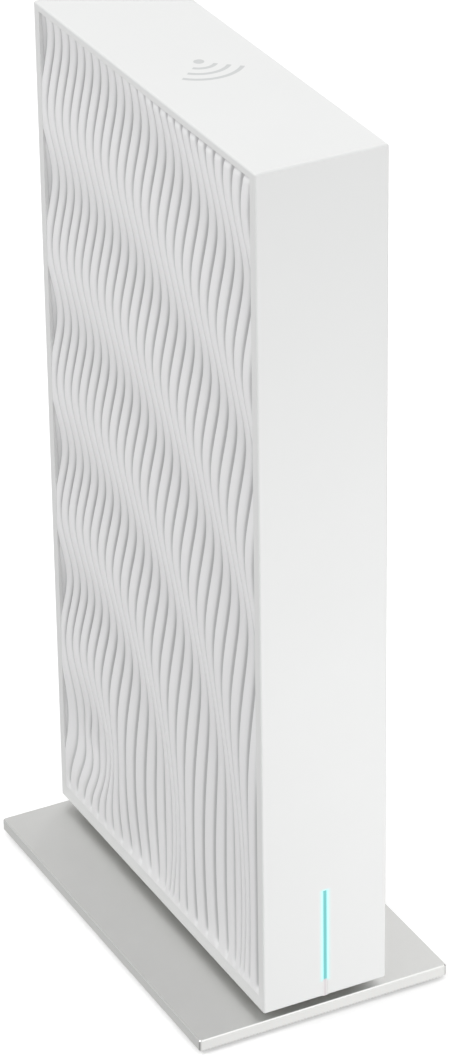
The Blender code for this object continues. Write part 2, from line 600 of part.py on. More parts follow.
def antenna_leads():
    """Each lead leaves its antenna's free edge, bends down and ends square on the main board."""
    under = TOP_ANTENNA_Z[0] - SEAT - LEAD_RADIUS
    behind = FRONT_ANTENNA_Y[1] + SEAT + LEAD_RADIUS
    landing = CHIP_FOOT + 2.8
    end = CHIP_FOOT + 0.1
    top_front = [(6.8, -26, under), (7.2, -24, 203), (6.5, -22, 192), (2, -21, 180)]
    top_rear = [(6.8, 12, under), (7.2, 10, 203), (6.5, 7, 192), (2, 3, 180)]
    front_upper = [(6.8, behind, 160), (6.8, -48, 157), (5, -45, 153), (1, -43, 150)]
    front_lower = [(6.8, behind, 66), (6.8, -48, 63), (5, -45, 60), (1, -43, 57)]
    coax_lead("antenna_lead_top_front", [*top_front, (landing, -20, 172), (end, -20, 171)])
    coax_lead("antenna_lead_top_rear", [*top_rear, (landing, 1, 172), (end, 1, 171)])
    coax_lead("antenna_lead_front_upper", [*front_upper, (landing, -41, 148), (end, -40.5, 147)])
    coax_lead("antenna_lead_front_lower", [*front_lower, (landing, -41, 55), (end, -40.5, 54)])


# ---------------------------------------------------------------- stand
NECK_HALF_W, NECK_HALF_D = 11.5, 48.5
NECK_Z = (PLATE_TOP + SEAT, TOWER_BASE - SEAT)
FOOT_X, FOOT_Y, FOOT_RADIUS, FOOT_SUNK = 26.0, 46.0, 5.0, 0.5
SCREW_HEAD_RADIUS, SCREW_RADIUS = 3.0, 1.5
COUNTERSINK_FROM, COUNTERSINK_TO = 0.6, 2.1


def stand():
    """The aluminium plate, the dark neck that lifts the sleeve off it, the feet and the two screws."""
    plate_x, plate_y = about(0, PLATE_WIDTH / 2), about(0, PLATE_DEPTH / 2)
    plate_z = (FOOT_LIFT, PLATE_TOP)
    plate = block("stand_plate", SATIN_ALUMINIUM, plate_x, plate_y, plate_z, parent=None, edge=0.4)
    neck = block("stand_neck", DARK_NECK, about(0, NECK_HALF_W), about(0, NECK_HALF_D), NECK_Z, parent=None)
    for y in (-STAND_SCREW_Y, STAND_SCREW_Y):
        cut_round(plate, (0, y, PLATE_TOP - 1), "Z", SCREW_CLEARANCE, PLATE_THICK + 4)
        head_room = SCREW_HEAD_RADIUS + GAP
        sink = [(-1.0, head_room), (COUNTERSINK_FROM, head_room), (COUNTERSINK_TO, SCREW_CLEARANCE)]
        boolean(plate, turned("sink", None, (0, y, FOOT_LIFT), "Z", sink, parent=None), "DIFFERENCE")
        cut_round(neck, (0, y, sum(NECK_Z) / 2), "Z", SCREW_CLEARANCE, 4.0)
    number = 0
    for x in (-FOOT_X, FOOT_X):
        for y in (-FOOT_Y, FOOT_Y):
            number += 1
            cut_round(plate, (x, y, FOOT_LIFT), "Z", FOOT_RADIUS + GAP, 2 * (FOOT_SUNK + SEAT))
            profile = [(0, FOOT_RADIUS - 0.4), (0.4, FOOT_RADIUS), (FOOT_LIFT + FOOT_SUNK, FOOT_RADIUS)]
            turned(f"rubber_foot_{number}", BLACK_RUBBER, (x, y, 0), "Z", profile, parent=None)


def stand_screws():
    """Two countersunk screws, up through the plate, the neck and the sleeve into the chassis."""
    for number, y in enumerate((-STAND_SCREW_Y, STAND_SCREW_Y), start=1):
        tip = TOWER_BASE + 9.0 - FOOT_LIFT
        head = [(0.2, SCREW_HEAD_RADIUS), (0.5, SCREW_HEAD_RADIUS), (1.9, SCREW_RADIUS)]
        profile = [*head, (tip - 0.8, SCREW_RADIUS), (tip, 0.8)]
        screw = turned(f"stand_screw_{number}", TINNED_STEEL, (0, y, FOOT_LIFT), "Z", profile, 16, None)
        cut_box(screw, about(0, 0.4), about(y, 1.8), (FOOT_LIFT - 0.5, FOOT_LIFT + 1.2))
        cut_box(screw, about(0, 1.8), about(y, 0.4), (FOOT_LIFT - 0.5, FOOT_LIFT + 1.2))


# ---------------------------------------------------------------- build
casing_sleeve()
wave_panel("wave_panel_left", -1)
wave_panel("wave_panel_right", 1)
rear_cover()
inner_chassis()
main_board()
chips()
shield_can("shield_can_upper", (-38.0, 4.0), (134.0, 163.0))
shield_can("shield_can_lower", (-38.0, -2.0), (24.0, 52.0))
heat_sink()
board_screws()
network_jack("wan", SOCKET_BLUE, WAN_Z)
network_contacts("wan", WAN_Z)
for lan_number, lan_z in enumerate(LAN_Z, start=1):
    network_jack(f"lan_{lan_number}", SOCKET_BLACK, lan_z)
    network_contacts(f"lan_{lan_number}", lan_z)
power_inlet()
power_button()
pairing_button()
reset_button()
light_bar()
light_ribbon()
antennas()
antenna_leads()
stand()
stand_screws()
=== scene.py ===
"""The looks of an upright wireless router on a flat stand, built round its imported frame.

Metres, +Z up, -Y the front. The wave panel that the camera sees is on the -X side.
"""

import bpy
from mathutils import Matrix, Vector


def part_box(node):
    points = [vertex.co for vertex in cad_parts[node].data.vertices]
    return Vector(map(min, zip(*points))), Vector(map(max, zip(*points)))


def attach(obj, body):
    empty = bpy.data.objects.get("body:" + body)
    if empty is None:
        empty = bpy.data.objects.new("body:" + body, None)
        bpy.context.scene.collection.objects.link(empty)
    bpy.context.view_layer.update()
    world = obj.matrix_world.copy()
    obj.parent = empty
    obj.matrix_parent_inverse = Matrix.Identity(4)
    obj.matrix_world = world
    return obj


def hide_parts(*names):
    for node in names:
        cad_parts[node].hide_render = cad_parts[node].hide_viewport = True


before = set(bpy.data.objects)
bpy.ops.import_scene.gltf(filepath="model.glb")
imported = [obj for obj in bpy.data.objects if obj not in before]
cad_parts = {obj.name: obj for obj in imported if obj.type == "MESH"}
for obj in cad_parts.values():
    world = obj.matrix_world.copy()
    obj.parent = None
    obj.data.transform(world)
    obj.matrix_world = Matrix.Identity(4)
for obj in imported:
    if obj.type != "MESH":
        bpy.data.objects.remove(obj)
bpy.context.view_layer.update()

import math

import bmesh
import bpy
import numpy as np
from mathutils import Matrix, Vector

# ------------------------------------------------------------------ camera
# A long lens looks down at the front left edge of the router, so its uprights run nearly
# parallel. The scene is shown as the lights leave it, with no film curve.
VIEW_AZIMUTH, VIEW_ELEVATION, VIEW_ROLL = np.radians((-26.89, 29.02, -0.87))
VIEW_PLACE = (-0.4167, -0.8281, 0.6195)
VIEW_LENS = 154.8

view_back = Vector((
    math.sin(VIEW_AZIMUTH) * math.cos(VIEW_ELEVATION),
    -math.cos(VIEW_AZIMUTH) * math.cos(VIEW_ELEVATION),
    math.sin(VIEW_ELEVATION),
))
level_right = Vector((0, 0, 1)).cross(view_back).normalized()
level_up = view_back.cross(level_right)
view_right = level_right * math.cos(VIEW_ROLL) + level_up * math.sin(VIEW_ROLL)
view_up = level_up * math.cos(VIEW_ROLL) - level_right * math.sin(VIEW_ROLL)
camera = bpy.data.objects.new("camera", bpy.data.cameras.new("camera"))
camera.data.lens = VIEW_LENS
camera.data.clip_start, camera.data.clip_end = 0.05, 20.0
view_turn = Matrix((view_right, view_up, view_back)).transposed().to_4x4()
camera.matrix_world = Matrix.Translation(VIEW_PLACE) @ view_turn
bpy.context.scene.collection.objects.link(camera)
bpy.context.scene.camera = camera
bpy.context.scene.view_settings.view_transform = "Standard"

# ------------------------------------------------------------------ inner chassis
# The grey glass-filled nylon moulding that carries everything inside. Its finish is the plain
# moulded plastic that the other mouldings share: even colour, faint flow clouds, a fine grain.
MM = 0.001
NYLON_GREY = (0.36, 0.37, 0.38)
FLOW_CLOUD = 22 * MM
PLASTIC_IOR = 1.49


class Wire:
    """One output of a material's nodes. Arithmetic on wires and numbers adds Math nodes."""

    def __init__(self, tree, socket):
        self.tree = tree
        self.socket = socket

    def add(self, kind, settings, values, output=0):
        """Any node: its settings are made first, then its inputs take their values or wires."""
        made = self.tree.nodes.new("ShaderNode" + kind)
        stops = settings.pop("stops", [])
        for place, colour in stops:
            stop = made.color_ramp.elements.new(place)
            stop.color = (*colour, 1.0)
        if stops:
            made.color_ramp.elements.remove(made.color_ramp.elements[0])
            made.color_ramp.elements.remove(made.color_ramp.elements[-1])
        for key, value in settings.items():
            setattr(made, key, value)
        for key, value in values.items():
            if isinstance(value, Wire):
                self.tree.links.new(value.socket, made.inputs[key])
            else:
                made.inputs[key].default_value = value
        return Wire(self.tree, made.outputs[output])

    def maths(self, operation, *values):
        """A Math node on these values, each a wire or a number."""
        return self.add("Math", {"operation": operation}, dict(enumerate(values)))

    def __add__(self, other):
        return self.maths("ADD", self, other)

    def __radd__(self, other):
        return self.maths("ADD", other, self)

    def __sub__(self, other):
        return self.maths("SUBTRACT", self, other)

    def __rsub__(self, other):
        return self.maths("SUBTRACT", other, self)

    def __mul__(self, other):
        return self.maths("MULTIPLY", self, other)

    def __rmul__(self, other):
        return self.maths("MULTIPLY", other, self)

    def ramp(self, low, high):
        """0 below low and 1 above high, with a smooth rise between them."""
        values = {"Value": self, "From Min": low, "From Max": high}
        return self.add("MapRange", {"interpolation_type": "SMOOTHSTEP"}, values)

    def mix(self, first, second):
        """The first colour where this wire is 0, and the second where it is 1."""
        colours = [c if isinstance(c, Wire) else (*c, 1.0) for c in (first, second)]
        return self.add("Mix", {"data_type": "RGBA"}, {0: self, 6: colours[0], 7: colours[1]}, 2)

    def tint(self, colour, low, high):
        """The colour, scaled by low where this wire is 0 and by high where it is 1."""
        return self.mix([c * low for c in colour], [c * high for c in colour])

    def noise(self, size, detail=2.0, stretch=(1, 1, 1)):
        """Smooth noise from 0 to 1 on this wire of coordinates, with features about size across."""
        scale = tuple(1 / (size * s) for s in stretch)
        spread = self.add("VectorMath", {"operation": "MULTIPLY"}, {0: self, 1: scale})
        return spread.add("TexNoise", {}, {"Vector": spread, "Scale": 1.0, "Detail": detail})

    def part(self, axis):
        """One of the wire's three coordinates, by its letter."""
        return self.add("SeparateXYZ", {}, {0: self}, "XYZ".index(axis))

    def unary(self, operation):
        """A Math node that takes this wire alone."""
        return self.maths(operation, self)

    def bumps(self, height):
        """The normal of a surface that stands this many metres high where this wire is 1."""
        return self.add("Bump", {}, {"Strength": 1.0, "Distance": height, "Height": self})


def finish(name, fixed, wired):
    """A Principled material: fixed holds its constants, and wired(place) gives what varies.

    place is the wire of the object's own coordinates, in metres.
    """
    made = bpy.data.materials.new(name)
    made.use_nodes = True
    tree = made.node_tree
    shader = tree.nodes["Principled BSDF"]
    for key, value in fixed.items():
        shader.inputs[key].default_value = value
    coordinates = tree.nodes.new("ShaderNodeTexCoord")
    for key, wire in wired(Wire(tree, coordinates.outputs["Object"])).items():
        tree.links.new(wire.socket, shader.inputs[key])
    return made


def moulded(name, colour, roughness=0.45, grain=0.25 * MM, depth=0.008 * MM):
    """Moulded plastic: flow clouds of 3 per cent in the colour, and a fine even grain."""

    def wired(place):
        clouds = place.noise(FLOW_CLOUD, 3)
        grains = place.noise(grain, 3)
        return {
            "Base Color": clouds.tint(colour, 0.97, 1.02),
            "Roughness": roughness - 0.05 + 0.1 * grains,
            "Normal": grains.bumps(depth),
        }

    return finish(name, {"IOR": PLASTIC_IOR}, wired)


def dress(node, material):
    """Gives a CAD node that stays in view this material."""
    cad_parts[node].material_slots[0].material = material


dress("inner_chassis", moulded("nylon_moulding", NYLON_GREY, 0.55, 0.4 * MM, 0.02 * MM))

# ------------------------------------------------------------------ main board
# A four-layer board in green solder mask: copper runs show as paler green lines between
# tinned vias. The antennas and the light's board are cut from the same stock.
MASK_GREEN = (0.012, 0.105, 0.055)
RUN_GREEN = (0.03, 0.19, 0.10)
PAD_TIN = (0.62, 0.60, 0.52)
HOLE_SHADE_BLACK = (0.01, 0.01, 0.01)
RUN_PITCH, VIA_PITCH = 1.3 * MM, 3.2 * MM
PAD_RIM, DRILL_RIM = (0.10, 0.14), (0.04, 0.06)
ANTENNAS = ("top_front", "top_rear", "front_upper", "front_lower")


def board_wired(place):
    """Copper runs from a brick pattern's joints, and vias from the middles of Voronoi cells.

    The rims are distances from a cell's middle, in parts of the vias' pitch.
    """
    flat = place.add("CombineXYZ", {}, {0: place.part("Y") + place.part("X"), 1: place.part("Z")})
    bricks = {"Vector": flat, "Scale": 1 / RUN_PITCH, "Mortar Size": 0.16, "Mortar Smooth": 0.2}
    bricks |= {"Color1": (0, 0, 0, 1), "Color2": (0, 0, 0, 1), "Mortar": (1, 1, 1, 1)}
    runs = flat.add("TexBrick", {}, {**bricks, "Brick Width": 4.0, "Row Height": 0.5})
    patches = flat.noise(9 * MM, 1).ramp(0.45, 0.55)
    cells = flat.add("TexVoronoi", {}, {"Vector": flat, "Scale": 1 / VIA_PITCH, "Randomness": 0.7})
    vias = 1 - cells.ramp(*PAD_RIM)
    holes = 1 - cells.ramp(*DRILL_RIM)
    mask = (runs * patches).mix(MASK_GREEN, RUN_GREEN)
    return {
        # painted shade: each via's drill hole is a black spot, not an opening
        "Base Color": holes.mix(vias.mix(mask, PAD_TIN), HOLE_SHADE_BLACK),
        "Metallic": vias * (1 - holes),
        "Roughness": 0.28 + 0.15 * place.noise(0.5 * MM),
        "Normal": (runs * patches + vias - 2 * holes).bumps(0.03 * MM),
    }


mask_gloss = {"Coat Weight": 0.3, "Coat Roughness": 0.15}
board_finish = finish("solder_masked_board", mask_gloss, board_wired)
for board in ("main_board", "light_board"):
    dress(board, board_finish)
for antenna in ANTENNAS:
    dress(f"antenna_{antenna}", board_finish)

# ------------------------------------------------------------------ chips and transformers
# Black epoxy packages with a fine laser-matt face. A round dimple marks each one's first pin.
EPOXY_BLACK = (0.018, 0.018, 0.020)
DIMPLE_RADIUS, DIMPLE_INSET, DIMPLE_DEPTH = 0.5 * MM, 1.4 * MM, 0.1 * MM


def package(node):
    """The epoxy finish for one package, with its dimple near the lower front corner."""
    low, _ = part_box(node)
    dimple_y, dimple_z = low.y + DIMPLE_INSET, low.z + DIMPLE_INSET

    def wired(place):
        along, up = place.part("Y") - dimple_y, place.part("Z") - dimple_z
        reach = (along * along + up * up).unary("SQRT")
        dimple = 1 - reach.ramp(DIMPLE_RADIUS * 0.8, DIMPLE_RADIUS)
        grains = place.noise(0.12 * MM, 3)
        return {
            "Base Color": dimple.tint(EPOXY_BLACK, 1.0, 0.5),
            "Roughness": 0.5 + 0.15 * grains - 0.25 * dimple,
            "Normal": (grains * 0.1 - dimple).bumps(DIMPLE_DEPTH),
        }

    return finish(node + "_epoxy", {"IOR": 1.55}, wired)


for chip in ("soc_chip", "memory_chip", "flash_chip", "switch_chip"):
    dress(chip, package(chip))
for number in (1, 2):
    dress(f"line_transformer_{number}", package(f"line_transformer_{number}"))

# ------------------------------------------------------------------ shield cans and board screws
# Cans drawn from tin-plated steel, with rolling lines up the sheet and rows of vent holes.
# The screws are plated the same.
TIN_GREY = (0.62, 0.62, 0.60)
HOLE_PITCH, HOLE_SHARE = 3.0 * MM, 0.22


def plated_wired(place):
    """Tin plate: long faint rolling lines and a mottled bloom."""
    lines = place.noise(0.3 * MM, 3, (1, 1, 40))
    bloom = place.noise(3 * MM, 3)
    return {
        "Base Color": bloom.tint(TIN_GREY, 0.88, 1.1),
        "Roughness": 0.24 + 0.22 * lines,
        "Normal": lines.bumps(0.004 * MM),
    }


def can_wired(place):
    """Tin plate with rows of vent holes painted black as shade, from the distance to the nearest
    point of a grid.
    """
    grid = place.add("VectorMath", {"operation": "SNAP"}, {0: place, 1: (HOLE_PITCH,) * 3})
    off = place.add("VectorMath", {"operation": "SUBTRACT"}, {0: place, 1: grid})
    along, up = off.part("Y") - HOLE_PITCH / 2, off.part("Z") - HOLE_PITCH / 2
    squared = (along * along + up * up) * HOLE_PITCH**-2
    holes = 1 - squared.ramp(HOLE_SHARE**2 * 0.8, HOLE_SHARE**2 * 1.1)
    wires = plated_wired(place)
    # painted shade: the vent holes are black spots, not openings
    wires["Base Color"] = holes.mix(wires["Base Color"], HOLE_SHADE_BLACK)
    wires["Metallic"] = 1 - holes
    return wires


plated_steel = finish("tin_plated_steel", {"Metallic": 1.0}, plated_wired)
can_steel = finish("pierced_can_steel", {}, can_wired)
for can in ("shield_can_upper", "shield_can_lower"):
    dress(can, can_steel)
for number in (1, 2, 3, 4):
    dress(f"board_screw_{number}", plated_steel)

# ------------------------------------------------------------------ heat sink and pad
# One aluminium extrusion with die lines up its fins, on a soft grey-blue silicone pad.
SINK_GREY = (0.56, 0.57, 0.58)
PAD_BLUE = (0.33, 0.37, 0.46)


def extruded_wired(place):
    """Bare aluminium with die lines: noise drawn out 200 times up the fins."""
    lines = place.noise(0.25 * MM, 2, (1, 1, 200))
    return {
        "Base Color": lines.tint(SINK_GREY, 0.9, 1.08),
        "Roughness": 0.3 + 0.2 * lines,
        "Normal": lines.bumps(0.02 * MM),
    }


dress("heat_sink", finish("extruded_aluminium", {"Metallic": 1.0}, extruded_wired))
dress("thermal_pad", moulded("silicone_pad", PAD_BLUE, 0.8, 0.6 * MM, 0.05 * MM))

# ------------------------------------------------------------------ antenna leads and light ribbon
# Coaxial leads in a grey fluoropolymer jacket, over a braid that shows faintly through it.
# The ribbon is white film with the grey of its flat conductors in stripes.
JACKET_GREY = (0.22, 0.22, 0.23)
FILM_WHITE, CONDUCTOR_GREY = (0.78, 0.78, 0.75), (0.42, 0.42, 0.41)
CONDUCTOR_PITCH, BRAID_CELL = 0.8 * MM, 0.2 * MM


def jacket_wired(place):
    """A jacket drawn tight over its braid, whose cells are Voronoi cells."""
    braid = place.add("TexVoronoi", {}, {"Vector": place, "Scale": 1 / BRAID_CELL})
    return {
        "Base Color": braid.tint(JACKET_GREY, 0.8, 1.2),
        "Roughness": 0.35 + 0.1 * place.noise(0.5 * MM),
        "Normal": braid.bumps(0.01 * MM),
    }


def ribbon_wired(place):
    """White film, with the conductors where a sine across the ribbon is above nought."""
    stripes = (place.part("Z") * (2 * math.pi / CONDUCTOR_PITCH)).unary("SINE")
    mask = stripes.ramp(0.0, 0.4)
    return {
        "Base Color": mask.mix(FILM_WHITE, CONDUCTOR_GREY),
        "Roughness": 0.3 + 0.15 * place.noise(1 * MM),
        "Normal": mask.bumps(0.02 * MM),
    }


coax_jacket = finish("coax_jacket", {}, jacket_wired)
for antenna in ANTENNAS:
    dress(f"antenna_lead_{antenna}", coax_jacket)
film_gloss = {"Coat Weight": 0.4, "Coat Roughness": 0.2}
dress("light_ribbon", finish("ribbon_film", film_gloss, ribbon_wired))

# ------------------------------------------------------------------ light source
# Three white-package LEDs whose phosphor glows teal, in a black baffle that stops stray light.
LED_RIM, LED_GLOW = (0.75, 0.74, 0.66), (0.25, 0.85, 0.80)
SOCKET_BLACK = (0.022, 0.022, 0.024)


def led_wired(place):
    """The glow fills the middle of each package, and fades towards its rim."""
    spots = place.noise(0.6 * MM, 1)
    window = 1 - place.part("X").unary("ABSOLUTE").ramp(0.4 * MM, 0.6 * MM)
    return {
        "Base Color": window.tint(LED_RIM, 1.0, 0.8),
        "Roughness": 0.3 + 0.2 * spots,
        "Emission Color": window.mix((0, 0, 0), LED_GLOW),
    }


led_finish = finish("led_package", {"Emission Strength": 2.0}, led_wired)
for number in (1, 2, 3):
    dress(f"light_led_{number}", led_finish)

black_moulding = moulded("black_moulding", SOCKET_BLACK, 0.42, 0.3 * MM, 0.01 * MM)
dress("light_baffle", black_moulding)

# ------------------------------------------------------------------ sockets
# Four eight-way sockets, blue for the incoming line and black for the three local ones, each
# with eight gold-flashed contact wires. Their mouldings have softly rounded edges.
SOCKET_BLUE = (0.016, 0.115, 0.36)
GOLD = (0.80, 0.55, 0.19)
MOULD_EDGE = 0.2 * MM
WELD = 0.0005 * MM
SHARP_EDGE = 35.0


def solid(name, points, faces, material, sharp=SHARP_EDGE, flats=True):
    """A closed mesh from points and faces: near points are welded and its faces turned outwards.

    With flats, its large flat faces are shaded flat and the shading turns in the small ones.
    """
    mesh = bpy.data.meshes.new(name)
    mesh.from_pydata(np.asarray(points).reshape(-1, 3).tolist(), [], faces)
    work = bmesh.new()
    work.from_mesh(mesh)
    bmesh.ops.remove_doubles(work, verts=work.verts, dist=WELD)
    bmesh.ops.dissolve_degenerate(work, dist=WELD, edges=work.edges)
    bmesh.ops.recalc_face_normals(work, faces=work.faces)
    work.to_mesh(mesh)
    work.free()
    mesh.shade_smooth()
    mesh.set_sharp_from_angle(angle=math.radians(sharp))
    mesh.materials.append(material)
    made = bpy.data.objects.new(name, mesh)
    bpy.context.scene.collection.objects.link(made)
    if flats:
        weighted = made.modifiers.new("flat faces", "WEIGHTED_NORMAL")
        weighted.keep_sharp = True
    return made


def softened(node, name, material, edge=MOULD_EDGE):
    """A CAD node's shape as one welded solid, its flat faces made whole and its edges rounded."""
    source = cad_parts[node].data
    points = np.empty(len(source.vertices) * 3)
    source.vertices.foreach_get("co", points)
    corners = np.empty(len(source.loops), int)
    source.loops.foreach_get("vertex_index", corners)
    made = solid(name, points, corners.reshape(-1, 3).tolist(), material, flats=False)
    work = bmesh.new()
    work.from_mesh(made.data)
    bmesh.ops.remove_doubles(work, verts=work.verts, dist=0.01 * MM)
    bmesh.ops.dissolve_limit(work, angle_limit=math.radians(1), verts=work.verts, edges=work.edges)
    work.to_mesh(made.data)
    work.free()
    bevel = made.modifiers.new("rounded edges", "BEVEL")
    bevel.width = edge
    bevel.segments = 3
    bevel.limit_method = "ANGLE"
    bevel.angle_limit = math.radians(40)
    bevel.harden_normals = True
    return made


def gold_wired(place):
    """Thin gold, a little duller where it has been rubbed."""
    rub = place.noise(0.4 * MM, 3)
    return {
        "Base Color": rub.tint(GOLD, 0.85, 1.1),
        "Roughness": 0.2 + 0.15 * rub,
        "Normal": rub.bumps(0.005 * MM),
    }


gold_flash = finish("gold_flash", {"Metallic": 1.0}, gold_wired)
blue_moulding = moulded("blue_moulding", SOCKET_BLUE, 0.38, 0.3 * MM, 0.01 * MM)
jack_looks = {"wan": (blue_moulding, "socket_blue")}
for line in ("lan_1", "lan_2", "lan_3"):
    jack_looks[line] = (black_moulding, "socket_black")
for line, (jack_finish, jack_slot) in jack_looks.items():
    jack = softened(f"{line}_jack", f"{line}_jack_moulding", jack_finish)
    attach(jack, "root")
    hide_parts(f"{line}_jack")
    dress(f"{line}_contacts", gold_flash)

# ------------------------------------------------------------------ power inlet
# A black low-voltage inlet with a round bore, and a plated centre pin with a rounded nose.
PIN_SIDES = 32
NOSE_SHARE = 0.6


def lofted(rings):
    """Faces that join each ring of points to the next and close both ends."""
    count, around = rings.shape[:2]
    starts = np.arange(count - 1)[:, None] * around
    here = np.arange(around)
    after = (here + 1) % around
    corners = (here, after, around + after, around + here)
    quads = np.stack([starts + corner for corner in corners], -1).reshape(-1, 4)
    last = here + (count - 1) * around
    return [*quads.tolist(), here[::-1].tolist(), last.tolist()]


def turned(name, node, profile, axis, material, sides=PIN_SIDES):
    """A turned piece in the middle of a CAD node.

    Each (distance, radius) of the profile is a circle round the axis, 0, 1 or 2 for X, Y or Z.
    """
    centre = np.add(*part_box(node)) / 2
    centre[axis] = 0
    along, radius = np.array(profile, float).T
    angle = np.arange(sides) * 2 * math.pi / sides
    rings = np.zeros((len(along), sides, 3))
    across = [a for a in range(3) if a != axis]
    rings[:, :, across[0]] = radius[:, None] * np.cos(angle)
    rings[:, :, across[1]] = radius[:, None] * np.sin(angle)
    rings[:, :, axis] = along[:, None]
    return solid(name, rings + centre, lofted(rings), material)


def rounded_end(start, end, radius, edge, steps=5):
    """The last part of a turned profile: a straight side, then a quarter circle of radius edge."""
    angle = np.linspace(0, math.pi / 2, steps)
    along = end - math.copysign(edge, end - start) * (1 - np.sin(angle))
    across = radius - edge * (1 - np.cos(angle))
    return [(start, radius), *zip(along, across)]


inlet = softened("power_inlet", "power_inlet_moulding", black_moulding)
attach(inlet, "root")
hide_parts("power_inlet")

pin_low, pin_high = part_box("power_inlet_pin")
pin_radius = (pin_high.x - pin_low.x) / 2
pin_profile = rounded_end(pin_low.y, pin_high.y, pin_radius, pin_radius * NOSE_SHARE)
pin = turned("power_inlet_centre_pin", "power_inlet_pin", pin_profile, 1, plated_steel)
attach(pin, "root")
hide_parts("power_inlet_pin")

# ------------------------------------------------------------------ buttons and switches
# The power and pairing caps are grey mouldings with soft edges, and the reset plunger stands
# behind its pin hole. Each moves with its own body, and the switches behind stay put.
BUTTON_GREY = (0.20, 0.205, 0.21)
POWER_EDGE, CAP_EDGE, TIP_EDGE = 0.3 * MM, 0.45 * MM, 0.3 * MM
STEM_RADIUS, STEM_LENGTH, COLLAR_LENGTH = 1.2 * MM, 8.8 * MM, 1.0 * MM
CAP_RADIUS, CAP_DISH = 2.6 * MM, 0.1 * MM
ROD_RADIUS, ROD_LENGTH, TIP_RADIUS = 0.8 * MM, 5.0 * MM, 1.5 * MM
CAP_SIDES = 48

button_moulding = moulded("grey_button_moulding", BUTTON_GREY, 0.4, 0.3 * MM, 0.01 * MM)
power_cap = softened("power_button", "power_button_cap", button_moulding, POWER_EDGE)
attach(power_cap, "power_button")
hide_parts("power_button")

pair_low, pair_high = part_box("pairing_button")
collar_y, collar_radius = pair_low.y + STEM_LENGTH, (pair_high.x - pair_low.x) / 2
pair_profile = [
    (pair_low.y, STEM_RADIUS),
    (collar_y, STEM_RADIUS),
    (collar_y, collar_radius),
    (collar_y + COLLAR_LENGTH, collar_radius),
    *rounded_end(collar_y + COLLAR_LENGTH, pair_high.y, CAP_RADIUS, CAP_EDGE, 7),
    (pair_high.y - CAP_DISH, STEM_RADIUS),
]
pair_cap = turned(
    "pairing_button_cap", "pairing_button", pair_profile, 1, button_moulding, CAP_SIDES
)
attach(pair_cap, "pairing_button")
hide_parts("pairing_button")

reset_low, reset_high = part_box("reset_button")
reset_step = reset_low.y + ROD_LENGTH
reset_profile = [(reset_low.y, ROD_RADIUS), (reset_step, ROD_RADIUS)]
reset_profile += rounded_end(reset_step, reset_high.y, TIP_RADIUS, TIP_EDGE)
plunger = turned("reset_plunger", "reset_button", reset_profile, 1, black_moulding)
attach(plunger, "reset_button")
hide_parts("reset_button")
for switch in ("power_switch", "pairing_switch", "reset_switch"):
    dress(switch, black_moulding)

# ------------------------------------------------------------------ rear cover
# A flat white moulding in the same satin plastic as the casing, snapped in behind. Its cut-outs
# have softly rounded rims.
SHELL_WHITE = (0.80, 0.805, 0.80)
COVER_EDGE = 0.25 * MM

white_moulding = moulded("satin_white_moulding", SHELL_WHITE, 0.42, 0.22 * MM, 0.004 * MM)
cover = softened("rear_cover", "rear_cover_moulding", white_moulding, COVER_EDGE)
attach(cover, "root")
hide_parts("rear_cover")

# ------------------------------------------------------------------ casing sleeve
# One satin white moulding: front, top, bottom and the frames of both broad sides, with soft
# outer edges. A pale grey printed sign, three arcs over a dot, is in the middle of its top.
EDGE_RADIUS, EDGE_STEPS = 0.5 * MM, 7
WINDOW_DEPTH, PANEL_GAP = 2.4 * MM, 0.3 * MM
SLOT_HALF, SLOT_DEPTH, SLOT_SPARE = 0.66 * MM, 1.9 * MM, 0.1 * MM
CAVITY_HALF, CAVITY_FLOOR, CAVITY_ROOF = 12.65 * MM, 2.4 * MM, 2.0 * MM
FRONT_WALL, SEAT_DEPTH, OPENING_RADIUS = 2.2 * MM, 1.9 * MM, 0.5 * MM
SATIN_GRAIN = 0.22 * MM
SIGN_GREY = (0.60, 0.61, 0.61)
SIGN_ARCS, SIGN_STROKE, SIGN_DOT = (3.9 * MM, 7.0 * MM, 10.1 * MM), 0.5 * MM, 1.2 * MM
SIGN_X, SIGN_Y, FAN_SLOPE, INK_EDGE = 0.8 * MM, 4.6 * MM, 0.9, 0.08 * MM
GLOW_TINT, GLOW_LIGHT = (0.60, 0.88, 0.87), (0.02, 0.16, 0.155)
GLOW_FROM, GLOW_REACH, GLOW_ENDS = 0.3 * MM, 1.9 * MM, 0.8 * MM
UNLIT_FOOT = 4.7 * MM

sleeve_low, sleeve_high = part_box("casing_sleeve")
panel_low, panel_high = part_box("wave_panel_left")
cover_low, cover_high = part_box("rear_cover")
bar_low, bar_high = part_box("light_bar")
slot_top = bar_high.z + SLOT_SPARE
lit_from = sleeve_low.z + UNLIT_FOOT


def corner_arcs(half_wide, low, high, radius, steps=7):
    """The round corners of an upright rectangle, from the bottom right one, anticlockwise."""
    turn = np.linspace(0, math.pi / 2, steps) + np.array((-1, 0, 1, 2))[:, None] * math.pi / 2
    side = np.array((1, 1, -1, -1))[:, None] * (half_wide - radius)
    level = np.array((low + radius, high - radius, high - radius, low + radius))[:, None]
    return np.stack((side + radius * np.cos(turn), level + radius * np.sin(turn)), -1)


def sleeve_ring(y, half_wide, low, high, radius, recess=0.0, slot=0.0):
    """One section of the sleeve, square to Y: a rectangle with round corners.

    Its sides step in by recess over the height of the wave panels, and its foot has the light
    bar's slot, this high.
    """
    arcs = corner_arcs(half_wide, low, high, radius)
    window = (panel_low.z - PANEL_GAP, panel_high.z + PANEL_GAP)
    sill, lintel = np.clip(window, low + radius, high - radius)
    inner = half_wide - recess
    foot = [(-SLOT_HALF, low), (-SLOT_HALF, low + slot), (SLOT_HALF, low + slot), (SLOT_HALF, low)]
    step = [(half_wide, sill), (inner, sill), (inner, lintel), (half_wide, lintel)]
    other = [(-x, z) for x, z in step[::-1]]
    flat = np.concatenate((foot, arcs[0], step, arcs[1], arcs[2], other, arcs[3]))
    return np.column_stack((flat[:, 0], np.full(len(flat), y), flat[:, 1]))


